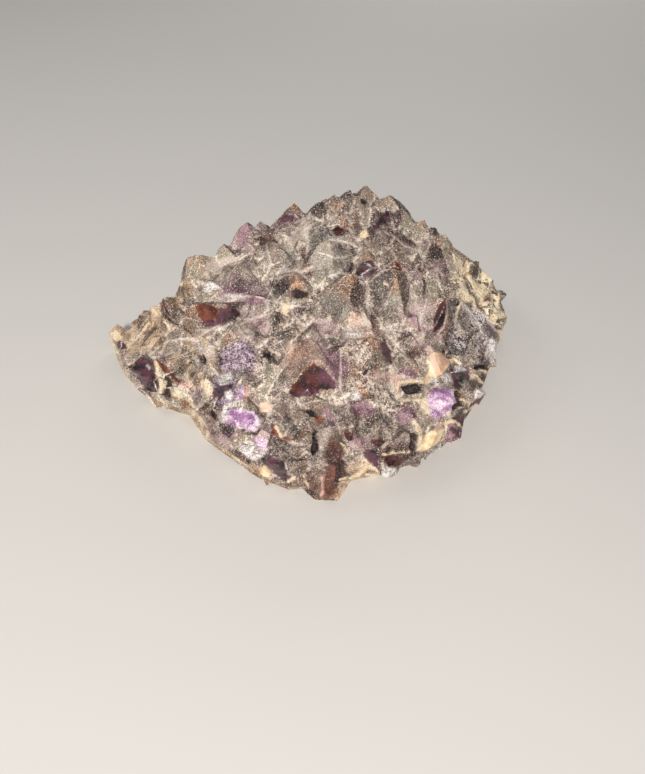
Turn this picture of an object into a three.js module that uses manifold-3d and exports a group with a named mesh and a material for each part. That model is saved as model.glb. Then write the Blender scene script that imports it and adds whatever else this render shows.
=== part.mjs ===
// Amethyst chunk: a dome of quartz crystals grown together on their matrix, broken off flat underneath.
// Millimetres, +Z up, +X to the right and +Y away from the viewpoint. The finished solid is centred over its
// flat base, and everything is one closed solid, as the crystals and their matrix grew as one stone.
import * as THREE from 'three';
import { ConvexGeometry } from 'three/addons/geometries/ConvexGeometry.js';
import { mergeVertices } from 'three/addons/utils/BufferGeometryUtils.js';
import Module from 'manifold-3d';

const wasm = await Module();
wasm.setup();

// The viewpoint. Its height above the resting plane is the size that everything placed by a pixel follows.
const EYE = new THREE.Vector3(4, -230, 215.5);
const PITCH = THREE.MathUtils.degToRad(44.73);
const ROLL = THREE.MathUtils.degToRad(2.147);
const FOCAL = 700; // in pixels of a view 645 wide and 774 high
const CENTRE_U = 322.5;
const CENTRE_V = 387;

// Quartz: a tip face leans 51.8 degrees from the plane across the crystal.
const TIP_LEAN = THREE.MathUtils.degToRad(51.8);

// The bed under the crystals.
const RIM_LIFT = 4; // height of the rim, where the bed is widest, above the resting plane
const RIM_INSET = 3; // the crystals and lumps on the rim stand out this far from the bed
const RIM_TUCK = 5; // how far the bed tucks in below its rim
const BED_BOTTOM = -4; // the bed is made this deep and cut off at 0
const CUT_WIDE = 400;
const CUT_DEEP = 60;
const BED_HEART = new THREE.Vector3(4, 6, 8);

// How a crystal sits in the bed, as shares of the width that shows: its tip stands this far out of the
// valleys round it, deeper down it is this much wider, so that neighbours run into each other, and its foot
// is sunk this far.
const TIP_RISE = 0.38;
const LOW_RISE = 0.16; // just behind the skyline, where a higher tip would show outside the outline
const GIRTH = 1.5;
const FOOT_SINK = 1;
const CREST_DROP = 0.6; // corners this far below the highest still belong to the tip's crest
const LEAST_SLANT = 0.45; // cosine of the flattest angle at which a tip is set back along its line of sight

// Crystals fan out from a core deep below, which follows their place part of the way.
const CORE_DEPTH = 25;
const CORE_FOLLOWS = new THREE.Vector2(0.5, 0.45);
const CORE_BACK = 5;

// Broken lumps, as shares of their width.
const LUMP_SINK = 0.24; // how far a lump's middle lies in the bed
const LUMP_REACH = 0.45; // how far it stands out at most
const LUMP_FLAT = 0.7; // how thick it is
const LUMP_WORN = 0.6; // how near the middle its corners may come, for the most worn one

// The crystals and lumps that no pixel names: on the side that is seen, and the larger ones behind. They are
// thrown at random, and one that lands nearer to another than a share of their mean width is left out.
const CRYSTAL_WIDE = [9, 15];
const HIDDEN_WIDE = [13, 20];
const HIDDEN_FROM = 45; // plan distance behind the middle
const LUMP_WIDE = [7, 14];
const CRYSTAL_APART = 0.75;
const LUMP_APART = 0.7;
const CRYSTAL_TILT = 14; // degrees from the fan at most
const CRYSTAL_THROWS = 6000;
const LUMP_THROWS = 900;
const LOWEST_THROW = -0.12; // the rise of a throw's line from the heart of the bed, 1 being straight up
const LUMP_HIGHEST_THROW = 0.5;

// How high the bed is broken through: near the resting plane in front, a little higher behind, higher on the
// left of the front and highest on the right.
const BROKEN_FRONT = 6;
const BROKEN_BACK = 13;
const BROKEN_LEFT = 22;
const BROKEN_RIGHT = 40;

// A seeded random number from 0 to 1, the same every run.
function seeded(seed) {
  let state = seed;
  return () => {
    state = (state * 1664525 + 1013904223) % 4294967296;
    return state / 4294967296;
  };
}

const between = (low, high, random) => low + (high - low) * random();

// The direction from the viewpoint through a pixel.
function sightLine(u, v) {
  const flat = new THREE.Vector2((u - CENTRE_U) / FOCAL, (CENTRE_V - v) / FOCAL);
  flat.rotateAround(new THREE.Vector2(), ROLL);
  return new THREE.Vector3(
    flat.x,
    Math.cos(PITCH) + flat.y * Math.sin(PITCH),
    -Math.sin(PITCH) + flat.y * Math.cos(PITCH),
  ).normalize();
}

// The point at a stated height that a pixel shows.
function seen(u, v, height) {
  const line = sightLine(u, v);
  return line.multiplyScalar((height - EYE.z) / line.z).add(EYE);
}

// The pixel that shows a point.
function pixelOf(point) {
  const away = point.clone().sub(EYE);
  const depth = away.y * Math.cos(PITCH) - away.z * Math.sin(PITCH);
  const up = away.y * Math.sin(PITCH) + away.z * Math.cos(PITCH);
  const flat = new THREE.Vector2(away.x / depth, up / depth).rotateAround(new THREE.Vector2(), -ROLL);
  return new THREE.Vector2(CENTRE_U + FOCAL * flat.x, CENTRE_V - FOCAL * flat.y);
}

// A closed mesh, its shared corners merged, as a solid that can be joined and cut.
function solid(geometry) {
  geometry.deleteAttribute('normal');
  geometry.deleteAttribute('uv');
  const merged = mergeVertices(geometry, 1e-4);
  return new wasm.Manifold(new wasm.Mesh({
    numProp: 3,
    vertProperties: merged.attributes.position.array,
    triVerts: new Uint32Array(merged.index.array),
  }));
}

function geometryOf(manifold) {
  const mesh = manifold.getMesh();
  const geometry = new THREE.BufferGeometry();
  geometry.setAttribute('position', new THREE.BufferAttribute(mesh.vertProperties, 3));
  geometry.setIndex(new THREE.BufferAttribute(mesh.triVerts, 1));
  return geometry;
}

// The corners of the convex form that lies inside every plane (normal . point <= reach).
function cornersInside(planes) {
  const corners = [];
  for (let i = 0; i < planes.length; i++) {
    for (let j = i + 1; j < planes.length; j++) {
      for (let k = j + 1; k < planes.length; k++) {
        const [a, b, c] = [planes[i], planes[j], planes[k]];
        const bc = new THREE.Vector3().crossVectors(b.normal, c.normal);
        const volume = a.normal.dot(bc);
        if (Math.abs(volume) > 1e-6) {
          const corner = bc.multiplyScalar(a.reach)
            .addScaledVector(new THREE.Vector3().crossVectors(c.normal, a.normal), b.reach)
            .addScaledVector(new THREE.Vector3().crossVectors(a.normal, b.normal), c.reach)
            .divideScalar(volume);
          const inside = planes.every((plane) => plane.normal.dot(corner) <= plane.reach + 1e-5);
          if (inside && corners.every((other) => other.distanceTo(corner) > 0.05)) corners.push(corner);
        }
      }
    }
  }
  return corners;
}

// A quartz crystal with its tip at the origin and its axis along +Z: six sides and six tip faces, of which
// three are broad and meet near the tip. Its first broad face looks towards +X, and chisel moves the other
// two out, which draws the tip into a ridge.
function crystalForm(wide, long, chisel, random) {
  const apothem = wide / 2;
  const planes = [{ normal: new THREE.Vector3(0, 0, -1), reach: long }];
  for (let side = 0; side < 6; side++) {
    const turn = side * Math.PI / 3;
    const broad = side % 2 === 0;
    const out = new THREE.Vector3(Math.cos(turn), Math.sin(turn), 0);
    planes.push({ normal: out, reach: apothem * between(0.86, 1.14, random) });
    const tipNormal = out.clone().multiplyScalar(Math.sin(TIP_LEAN)).setZ(Math.cos(TIP_LEAN));
    const gap = broad ? between(0, 0.1, random) : between(0.1, 0.35, random);
    planes.push({ normal: tipNormal, reach: apothem * (gap + (broad && side ? chisel : 0)) });
  }
  const corners = cornersInside(planes);
  const top = Math.max(...corners.map((corner) => corner.z));
  const crest = corners.filter((corner) => corner.z > top - CREST_DROP);
  const tip = crest.reduce((sum, corner) => sum.add(corner), new THREE.Vector3()).divideScalar(crest.length);
  return new ConvexGeometry(corners).translate(-tip.x, -tip.y, -top);
}

// A crystal stood with its tip at a point, its axis along a direction and its first broad face looking as
// nearly as it can towards a plan direction in degrees.
function crystal(tip, axis, faces, wide, long, chisel, random) {
  const plan = THREE.MathUtils.degToRad(faces);
  const look = new THREE.Vector3(Math.cos(plan), Math.sin(plan), 0);
  const front = look.addScaledVector(axis, -look.dot(axis)).normalize();
  const across = new THREE.Vector3().crossVectors(axis, front);
  const stand = new THREE.Matrix4().makeBasis(front, across, axis).setPosition(tip);
  return solid(crystalForm(wide, long, chisel, random).applyMatrix4(stand));
}

// A broken lump of quartz or matrix: a flat block with its corners knocked about, turned at random.
function lump(middle, wide, random) {
  const turn = new THREE.Euler(...[0, 1, 2].map(() => between(0, 2 * Math.PI, random)));
  const corners = [];
  for (const x of [-1, 1]) {
    for (const y of [-1, 1]) {
      for (const z of [-LUMP_FLAT, LUMP_FLAT]) {
        const corner = new THREE.Vector3(x, y, z).multiplyScalar(wide / 2 * between(LUMP_WORN, 1, random));
        corners.push(corner.applyEuler(turn).add(middle));
      }
    }
  }
  return solid(new ConvexGeometry(corners));
}

// The direction that a crystal grows in.
function growth(point) {
  const core = new THREE.Vector3(CORE_FOLLOWS.x * point.x, CORE_FOLLOWS.y * point.y + CORE_BACK, -CORE_DEPTH);
  return point.clone().sub(core).normalize();
}

// A point moved level towards the middle of the bed.
function towardsHeart(point, distance) {
  return point.clone().add(new THREE.Vector3().subVectors(BED_HEART, point).setZ(0).setLength(distance));
}

// Pixels and heights of the bed: its rim along the front, read from the photograph, and round the hidden
// back, and the valleys between its crystals. The matrix itself is the edge on the left of the front.
const matrixRim = [
  [113, 350], [122, 372], [136, 389], [163, 405], [186, 413], [205, 440], [234, 458], [256, 477], [288, 489],
].map(([u, v]) => seen(u, v, RIM_LIFT));
const crystalRim = [
  [322, 492], [346, 482], [392, 478], [425, 466], [450, 451], [468, 431], [485, 404], [488, 380],
  [497, 360], [499, 340], [508, 322],
].map(([u, v]) => towardsHeart(seen(u, v, RIM_LIFT), RIM_INSET));
const frontRim = [...matrixRim, ...crystalRim];
const backRim = [
  [86, 38], [77, 52], [61, 65], [40, 74], [14, 79], [-16, 73], [-43, 57], [-65, 38], [-84, 18],
].map(([x, y]) => new THREE.Vector3(x, y, RIM_LIFT));

const tongueValleys = [
  [117, 340, 7], [138, 322, 14], [162, 312, 20], [190, 288, 27], [140, 372, 13], [170, 385, 18],
  [205, 405, 20], [215, 340, 31],
];
const domeValleys = [
  [192, 276, 34], [225, 258, 42], [252, 238, 48], [290, 224, 54], [330, 209, 58], [366, 200, 60],
  [402, 216, 56], [438, 242, 50], [455, 264, 42],
  [205, 378, 28], [236, 408, 26], [268, 434, 24], [300, 448, 22], [325, 462, 18], [362, 450, 19],
  [402, 442, 19], [440, 412, 21], [466, 380, 21], [478, 340, 26],
  [220, 325, 37], [262, 355, 37], [300, 380, 35], [350, 378, 37], [398, 362, 38], [440, 325, 38],
  [240, 280, 44], [295, 280, 50], [350, 280, 52], [402, 270, 52], [440, 278, 45],
];
const lobeValleys = [
  [468, 269, 30], [480, 270, 27], [494, 282, 21], [502, 302, 13], [508, 318, 8], [497, 345, 9],
  [490, 322, 22], [470, 300, 34], [470, 345, 24],
];
const backValleys = [
  [74, 50, 26], [50, 64, 36], [18, 72, 40], [-16, 64, 34], [-44, 50, 20], [-68, 38, 8],
].map(([x, y, z]) => new THREE.Vector3(x, y, z));

// One convex piece of the bed, from its rim down to below the resting plane and up to its valleys.
function bedPiece(rim, tops) {
  const foot = rim.map((point) => towardsHeart(point, RIM_TUCK).setZ(BED_BOTTOM));
  return solid(new ConvexGeometry([...rim, ...foot, ...tops]));
}

const valley = ([u, v, height]) => seen(u, v, height);
const bed = bedPiece([...frontRim.slice(4, 17), ...backRim.slice(2, 7)],
  [...domeValleys.map(valley), ...backValleys.slice(1, 5)])
  .add(bedPiece([...frontRim.slice(0, 5), ...backRim.slice(5)],
    [...tongueValleys.map(valley), ...backValleys.slice(4)]))
  .add(bedPiece([...frontRim.slice(15), ...backRim.slice(0, 3)],
    [...lobeValleys.map(valley), ...backValleys.slice(0, 2)]));
const bedMesh = new THREE.Mesh(geometryOf(bed), new THREE.MeshBasicMaterial({ side: THREE.DoubleSide }));
const caster = new THREE.Raycaster();

// Where a line first meets the bed.
function onBed(from, line) {
  caster.set(from, line);
  const hits = caster.intersectObject(bedMesh);
  return hits.length ? hits[0].point : null;
}

// Crystals read from the photograph. u and v are the tip's pixel and wide is the width that shows. faces is
// the plan direction that the first broad face looks towards (0 is +X, -90 the front). lean is how many
// degrees the axis leans that way from upright, where it doesn't simply grow outwards. rise is how far the
// tip stands out of the valleys round it, chisel draws the tip out into a ridge across the first face, and
// height is the tip's own height, where it stands clear against what is behind.
const crystals = [
  // The skyline, from the left.
  { u: 121, v: 333, wide: 12, faces: -110, height: 13 },
  { u: 138, v: 314, wide: 15, faces: -80, height: 22 },
  { u: 152, v: 306, wide: 17, faces: -100, height: 28, chisel: 0.3 },
  { u: 163, v: 297, wide: 15, faces: -150, height: 33, lean: 18 },
  { u: 182, v: 278, wide: 12, faces: -150, height: 37 },
  { u: 193, v: 255, wide: 16, faces: -100, height: 44, chisel: 0.4 },
  { u: 222, v: 243, wide: 14, faces: -100, height: 48 },
  { u: 246, v: 221, wide: 13, faces: -120, height: 54 },
  { u: 260, v: 220, wide: 14, faces: -90, height: 55 },
  { u: 294, v: 202, wide: 16, faces: -100, height: 61 },
  { u: 322, v: 199, wide: 15, faces: -120, height: 62 },
  { u: 334, v: 193, wide: 14, faces: -70, height: 64 },
  { u: 350, v: 188, wide: 13, faces: -100, height: 65 },
  { u: 366, v: 184, wide: 14, faces: -60, height: 66 },
  { u: 390, v: 195, wide: 16, faces: -95, height: 64, lean: 12, rise: 8 },
  { u: 404, v: 207, wide: 11, faces: -30, height: 61 },
  { u: 425, v: 219, wide: 17, faces: -110, height: 59 },
  { u: 446, v: 233, wide: 12, faces: -30, height: 54 },
  { u: 454, v: 250, wide: 10, faces: 10, height: 48 },
  // The upper rows.
  { u: 303, v: 217, wide: 16, faces: -80, height: 58 },
  { u: 342, v: 213, wide: 15, faces: -90, height: 61, lean: 12 },
  { u: 434, v: 241, wide: 13, faces: -75, lean: 14, rise: 9 },
  { u: 238, v: 262, wide: 18, faces: -100 },
  { u: 274, v: 243, wide: 15, faces: -80 },
  { u: 206, v: 279, wide: 14, faces: -80 },
  { u: 328, v: 238, wide: 17, faces: -110 },
  { u: 400, v: 246, wide: 17, faces: -80 },
  { u: 371, v: 256, wide: 20, faces: -82, lean: 20, rise: 9 },
  { u: 298, v: 277, wide: 19, faces: -75, lean: 20, rise: 9 },
  { u: 352, v: 274, wide: 20, faces: -150, rise: 8 },
  { u: 397, v: 267, wide: 20, faces: -140, rise: 8 },
  { u: 420, v: 268, wide: 12, faces: -90 },
  // The middle rows.
  { u: 225, v: 303, wide: 24, faces: -82, lean: 18, rise: 9, chisel: 0.5 },
  { u: 256, v: 294, wide: 14, faces: -60 },
  { u: 446, v: 297, wide: 20, faces: -18, lean: 16, rise: 9 },
  { u: 320, v: 304, wide: 11, faces: -90 },
  { u: 364, v: 310, wide: 14, faces: -100 },
  { u: 391, v: 304, wide: 13, faces: -70 },
  { u: 207, v: 342, wide: 12, faces: -90 },
  { u: 232, v: 326, wide: 16, faces: -90 },
  { u: 254, v: 332, wide: 12, faces: -60 },
  { u: 283, v: 341, wide: 11, faces: -120 },
  { u: 276, v: 312, wide: 12, faces: -60 },
  { u: 312, v: 328, wide: 15, faces: -90 },
  { u: 157, v: 358, wide: 14, faces: -130, lean: 20, rise: 7 },
  { u: 182, v: 344, wide: 16, faces: -80 },
  { u: 372, v: 338, wide: 22, faces: -20, lean: 12, rise: 10 },
  { u: 412, v: 334, wide: 14, faces: -80 },
  { u: 440, v: 331, wide: 13, faces: -60 },
  { u: 318, v: 358, wide: 27, faces: -78, lean: 22, rise: 13 },
  { u: 414, v: 360, wide: 14, faces: -80 },
  // The front rows.
  { u: 245, v: 350, wide: 16, faces: -90 },
  { u: 246, v: 378, wide: 12, faces: -70 },
  { u: 282, v: 386, wide: 11, faces: -100 },
  { u: 320, v: 400, wide: 17, faces: -50, lean: 30 },
  { u: 357, v: 386, wide: 15, faces: -80 },
  { u: 384, v: 385, wide: 13, faces: -90 },
  { u: 410, v: 400, wide: 13, faces: -90 },
  { u: 282, v: 411, wide: 13, faces: -110, lean: 30 },
  { u: 345, v: 404, wide: 10, faces: -90 },
  { u: 351, v: 414, wide: 12, faces: -80 },
  { u: 380, v: 416, wide: 13, faces: -90 },
  { u: 404, v: 432, wide: 12, faces: -60 },
  { u: 441, v: 392, wide: 15, faces: -90, lean: 30, chisel: 0.5 },
  { u: 357, v: 438, wide: 11, faces: -80 },
  { u: 379, v: 440, wide: 11, faces: -90 },
  { u: 306, v: 436, wide: 13, faces: -90, lean: 42 },
  { u: 336, v: 440, wide: 13, faces: -80, lean: 42 },
  { u: 321, v: 496, wide: 25, faces: -90, lean: 60, height: 6, rise: 14 },
  { u: 476, v: 374, wide: 10, faces: -60, lean: 50 },
];

// The chunk's outline from the viewpoint, in pixels, clockwise from its left end. No crystal that isn't read
// from the photograph shows outside it.
const outline = [
  [107, 344], [110, 331], [121, 333], [135, 315], [149, 307], [160, 305], [162, 298], [172, 293], [181, 281],
  [190, 264], [191, 254], [212, 255], [221, 243], [231, 242], [244, 222], [270, 220], [281, 211], [293, 202],
  [304, 213], [319, 199], [332, 193], [349, 188], [365, 183], [376, 192], [393, 196], [403, 206], [428, 218],
  [447, 233], [456, 257], [467, 265], [478, 263], [497, 276], [505, 302], [512, 323], [501, 337], [499, 361],
  [487, 378], [486, 404], [469, 429], [448, 453], [432, 453], [425, 468], [402, 471], [394, 479], [345, 482],
  [337, 490], [315, 500], [275, 486], [250, 469], [216, 450], [201, 438], [184, 412], [146, 404], [119, 373],
];

// Whether a point shows inside the outline, by the edges that a line to its right crosses.
function insideOutline(point) {
  const pixel = pixelOf(point);
  let inside = false;
  outline.forEach(([u, v], index) => {
    const [lastU, lastV] = outline[(index || outline.length) - 1];
    const spans = (v > pixel.y) !== (lastV > pixel.y);
    if (spans && pixel.x < u + (lastU - u) * (pixel.y - v) / (lastV - v)) inside = !inside;
  });
  return inside;
}

const random = seeded(1846);
const stood = []; // where each crystal stands and how wide it is
let chunk = bed;

// Broken lumps of quartz and matrix read from the photograph.
const lumps = [
  { u: 114, v: 338, wide: 11, height: 7 },
  { u: 124, v: 352, wide: 10 },
  { u: 153, v: 396, wide: 11, height: 6 },
  { u: 143, v: 376, wide: 15 },
  { u: 167, v: 388, wide: 12 },
  { u: 203, v: 400, wide: 14 },
  { u: 222, v: 388, wide: 13 },
  { u: 212, v: 424, wide: 13 },
  { u: 230, v: 412, wide: 13 },
  { u: 250, v: 421, wide: 12 },
  { u: 229, v: 438, wide: 12 },
  { u: 262, v: 440, wide: 14 },
  { u: 247, v: 455, wide: 13 },
  { u: 274, v: 462, wide: 16 },
  { u: 268, v: 477, wide: 10 },
  { u: 296, v: 459, wide: 13 },
  { u: 371, v: 458, wide: 13 },
  { u: 390, v: 472, wide: 9, height: 5 },
  { u: 418, v: 459, wide: 10 },
  { u: 433, v: 438, wide: 15 },
  { u: 455, v: 431, wide: 13 },
  { u: 466, v: 409, wide: 14 },
  { u: 478, v: 395, wide: 10 },
  { u: 440, v: 365, wide: 16 },
  { u: 460, v: 374, wide: 14 },
  { u: 475, v: 350, wide: 13 },
  { u: 491, v: 350, wide: 11 },
  { u: 461, v: 342, wide: 13 },
  { u: 464, v: 312, wide: 13 },
  { u: 500, v: 318, wide: 12 },
  { u: 484, v: 318, wide: 12 },
  { u: 497, v: 297, wide: 10, height: 18 },
  { u: 489, v: 280, wide: 11, height: 26 },
  { u: 475, v: 273, wide: 11, height: 31 },
  { u: 466, v: 294, wide: 14 },
  { u: 484, v: 298, wide: 13 },
];

// The place that a pixel shows: at a stated height, or else on the bed.
function placeOf(u, v, height) {
  const place = height === undefined ? onBed(EYE, sightLine(u, v)) : seen(u, v, height);
  if (!place) throw new Error(`the bed isn't behind pixel ${u}, ${v}`);
  return place;
}

// The axis that leans from upright by some degrees towards a plan direction.
function leaning(lean, faces) {
  const [tilt, plan] = [THREE.MathUtils.degToRad(lean), THREE.MathUtils.degToRad(faces)];
  return new THREE.Vector3(Math.sin(tilt) * Math.cos(plan), Math.sin(tilt) * Math.sin(plan), Math.cos(tilt));
}

for (const { u, v, wide, faces, lean, rise = TIP_RISE * wide, chisel = 0, height } of crystals) {
  const line = sightLine(u, v);
  const foot = placeOf(u, v, height);
  const axis = lean === undefined ? growth(foot) : leaning(lean, faces);
  const tip = foot.clone();
  if (height === undefined) tip.addScaledVector(line, -rise / Math.max(LEAST_SLANT, -line.dot(axis)));
  chunk = chunk.add(crystal(tip, axis, faces, GIRTH * wide, rise + FOOT_SINK * wide, chisel, random));
  stood.push({ place: tip.addScaledVector(axis, -rise), wide });
}

// A broken lump sunk into the bed at a place.
function lumpAt(place, wide) {
  const outward = place.clone().sub(BED_HEART).normalize();
  chunk = chunk.add(lump(place.clone().addScaledVector(outward, -LUMP_SINK * wide), wide, random));
  stood.push({ place, wide });
}

for (const { u, v, wide, height } of lumps) lumpAt(placeOf(u, v, height), wide);

// A point of the bed in a random direction from its heart, up to a steepest rise.
function anyPlace(steepest) {
  const turn = between(0, 2 * Math.PI, random);
  const rise = between(LOWEST_THROW, steepest, random);
  const level = Math.sqrt(1 - rise * rise);
  return onBed(BED_HEART, new THREE.Vector3(level * Math.cos(turn), level * Math.sin(turn), rise));
}

// Whether a place is on a flank where the bed is broken through.
function broken(place) {
  if (place.x > 66) return place.z < BROKEN_RIGHT;
  if (place.x < -8 && place.y < -0.6 * place.x - 40) return place.z < BROKEN_LEFT;
  return place.z < (place.y < -30 ? BROKEN_FRONT : BROKEN_BACK);
}

const roomAt = (place, wide, apart) => stood.every(
  (other) => other.place.distanceTo(place) > apart * (other.wide + wide) / 2,
);

for (let thrown = 0; thrown < CRYSTAL_THROWS; thrown++) {
  const place = anyPlace(1);
  const wide = between(...(place && place.y > HIDDEN_FROM ? HIDDEN_WIDE : CRYSTAL_WIDE), random);
  const faces = between(-180, 180, random);
  const tilt = THREE.MathUtils.degToRad(between(0, CRYSTAL_TILT, random));
  if (place && !broken(place) && roomAt(place, wide, CRYSTAL_APART)) {
    const hinge = new THREE.Vector3(random() - 0.5, random() - 0.5, 0).normalize();
    const axis = growth(place).applyAxisAngle(hinge, tilt);
    const tipAt = (rise) => place.clone().addScaledVector(axis, rise * wide);
    const rise = [TIP_RISE, LOW_RISE].find((share) => insideOutline(tipAt(share)));
    if (rise) {
      const long = (rise + FOOT_SINK) * wide;
      chunk = chunk.add(crystal(tipAt(rise), axis, faces, GIRTH * wide, long, 0, random));
      stood.push({ place, wide });
    }
  }
}

for (let thrown = 0; thrown < LUMP_THROWS; thrown++) {
  const place = anyPlace(LUMP_HIGHEST_THROW);
  const wide = between(...LUMP_WIDE, random);
  if (place && broken(place) && roomAt(place, wide, LUMP_APART)) {
    const farthest = place.clone().sub(BED_HEART).normalize().multiplyScalar(LUMP_REACH * wide).add(place);
    if (insideOutline(farthest)) lumpAt(place, wide);
  }
}

// Everything below the resting plane comes off, which leaves the flat face that the chunk rests on.
const below = new THREE.BoxGeometry(CUT_WIDE, CUT_WIDE, CUT_DEEP).translate(0, 0, -CUT_DEEP / 2);
chunk = chunk.subtract(solid(below));

const geometry = geometryOf(chunk).toNonIndexed();
geometry.computeVertexNormals();
geometry.computeBoundingBox();
const amethyst = new THREE.MeshStandardMaterial({ color: 0x8a7480, roughness: 0.7, metalness: 0 });
const stone = new THREE.Mesh(geometry, amethyst);
stone.name = 'amethyst_chunk';

// The origin is under the middle of the chunk, on the resting plane.
const middle = geometry.boundingBox.getCenter(new THREE.Vector3());
stone.position.set(-middle.x, -middle.y, -geometry.boundingBox.min.z);

const specimen = new THREE.Group();
specimen.add(stone);
export default specimen;
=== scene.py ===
import math
import random

import bmesh
import bpy
import numpy as np
from mathutils import Matrix, Vector, kdtree, noise
from mathutils.bvhtree import BVHTree


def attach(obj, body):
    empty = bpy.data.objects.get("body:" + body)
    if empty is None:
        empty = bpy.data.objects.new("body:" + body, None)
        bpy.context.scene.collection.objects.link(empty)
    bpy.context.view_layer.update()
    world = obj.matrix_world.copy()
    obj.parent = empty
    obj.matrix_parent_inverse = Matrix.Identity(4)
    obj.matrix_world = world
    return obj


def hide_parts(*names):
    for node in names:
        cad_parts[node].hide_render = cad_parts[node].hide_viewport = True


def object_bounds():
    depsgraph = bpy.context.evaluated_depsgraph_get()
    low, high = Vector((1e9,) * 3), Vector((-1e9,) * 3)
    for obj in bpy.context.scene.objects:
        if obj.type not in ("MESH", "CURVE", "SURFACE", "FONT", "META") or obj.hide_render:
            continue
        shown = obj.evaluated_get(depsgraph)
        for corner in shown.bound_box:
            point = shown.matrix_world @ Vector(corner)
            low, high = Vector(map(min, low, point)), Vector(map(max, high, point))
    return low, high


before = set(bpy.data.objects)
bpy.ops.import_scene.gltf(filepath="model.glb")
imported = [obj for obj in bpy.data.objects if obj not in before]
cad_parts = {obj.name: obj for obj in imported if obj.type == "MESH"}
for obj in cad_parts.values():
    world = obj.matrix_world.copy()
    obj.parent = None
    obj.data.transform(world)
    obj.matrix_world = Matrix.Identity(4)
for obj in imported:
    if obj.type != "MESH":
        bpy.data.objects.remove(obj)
cad_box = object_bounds()

MM = 0.001

# The viewpoint. Pixels named below belong to its view, 645 across and 774 high.
EYE = Vector((5.551, -233.780, 215.5)) * MM
PITCH = math.radians(44.73)
ROLL = math.radians(2.147)
FOCAL = 700                 # in pixels, like the view's middle and its height
CENTRE_U = 322.5
CENTRE_V = 387
VIEW_HIGH = 774
SENSOR = 36
CLIP_NEAR = 0.01
PIXEL = 0.45                # millimetres of the stone that a pixel shows

# The stage, in metres.
FLOOR_RADIUS = 4
FLOOR_COLOUR = (0.69, 0.67, 0.645, 1)
FLOOR_ROUGH = 0.8
SKY_COLOUR = (0.95, 0.97, 1, 1)
SKY_STRENGTH = 0.18
STONE_MIDDLE = Vector((0, 0, 0.03))       # what the lights are aimed at
FLASH_AWAY = 3              # how many times as far off as the viewpoint the flash is
FLASH_LEFT = 0.03           # and how far to the left of it, as seen at the viewpoint

# The stone's skin.
SAME_PLACE = 1e-7           # corners of the solid this near are one
SKIN_STEP = 0.6 * MM        # size of the skin's mesh
FACET_SAME = 0.999          # neighbouring triangles this parallel belong to one crystal face
VALLEY = (-180, -14)        # degrees between two faces at a hollow edge, which carries a vein,
RIDGE = (24, 180)           # and at a standing one
EDGE_STEP = 0.4 * MM        # how far apart the points stand that stand for an edge
FAR = 9                     # millimetres; no distance is told further off
CUTS = (-18, 24)            # millimetres to the right, where the skin is cut into three meshes
BEYOND = 100                # further out than the skin on either side
FACE_SEED = 77              # for the chance value of each crystal face

# Relief, in millimetres: how deep it goes and how wide its lumps are.
SWELL_DEEP, SWELL_WIDE = 0.3, 6
CRYSTAL_DEEP, CRYSTAL_WIDE = 1.1, 5.5     # the small crystals that crowd the valleys
CROWDED = (3.5, 1.5)        # this far from a valley they begin, and this near they stand at full height
SEAM_CROWD = 0.3            # from this share of it on, seams show between them
OWN_TINT = 0.4              # the most that such a crystal's tint is its own, not its face's
DRUSE_DEEP, DRUSE_WIDE = 0.16, 2.2        # smaller ones on every face
SUGAR_DEEP, SUGAR_WIDE = 0.1, 0.9         # and a roughness like sugar's
CLEAN_DEEP = 0.45           # how far a clean face lies below the druse round it
SLOT_DEEP = 2.2             # how far a dark slot goes in
VALLEY_FILL = 1.2           # how near a valley's bottom the druse rounds it out
VALLEY_ROUNDS = 6
WORN_ROUNDS = 2             # how often every edge is smoothed
SMOOTHING = 0.5             # how far a corner then moves towards the middle of its neighbours
FLAT_RELIEF = 0.35          # the share of the relief that the flat tones keep
FOOT = 2                    # the relief fades out below this height
BREAK_DEEP, BREAK_WIDE = 1.4, 9           # the broken underside
BREAK_NOISE = (0.8, 2, 4)   # its fractal noise: the dimension, the step from size to size, the sizes
BREAK_BELOW = 0.1           # corners lower than this belong to it
CLEAN_EDGE = (-0.4, 0.3)    # this far outside its edge a clean face ends, and here the relief is whole,
FLAT_EDGE = (-0.3, 0.6)     # and the same for the flat tones
SLOT_EDGE = (-0.4, 1)       # this far inside its edge a slot begins, and here it is at full depth
CLEAN_TONES = ["purple", "burgundy", "red", "butter"]
SMOOTH_TONES = CLEAN_TONES + ["dark"]     # these carry no grains
FLAT_TONES = ["cream", "white", "tan"]    # and these have little relief

# The druse's grains: tiny three-sided crystals, with their feet sunk in the skin.
GRAINS = 44_000             # in each of the two pieces
GRAIN_WIDE = (0.2, 0.5)     # millimetres from a grain's middle to its feet
GRAIN_TALL = (0.3, 0.8)     # its height as a share of that
GRAIN_SUNK = 0.15           # how deep its feet are sunk, in millimetres
GRAIN_LEAN = 0.5            # how far its tip leans, as a share of its width
GRAIN_LOWEST = 2.5          # none stands lower than this, in millimetres,
GRAIN_CLEAR = 0.2           # or nearer than this to a clean face
DRUSE_SEEDS = (1, 2)
SKIN_SHADE = 0.5            # the skin's own shade, among the grains' from 0 to 1


def sight_axes():
    """The view's axes: to the right, up and straight ahead."""
    level = Vector((1, 0, 0))
    rise = Vector((0, math.sin(PITCH), math.cos(PITCH)))
    ahead = Vector((0, math.cos(PITCH), -math.sin(PITCH)))
    right = level * math.cos(ROLL) + rise * math.sin(ROLL)
    up = rise * math.cos(ROLL) - level * math.sin(ROLL)
    return right, up, ahead


RIGHT, UP, AHEAD = sight_axes()


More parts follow.
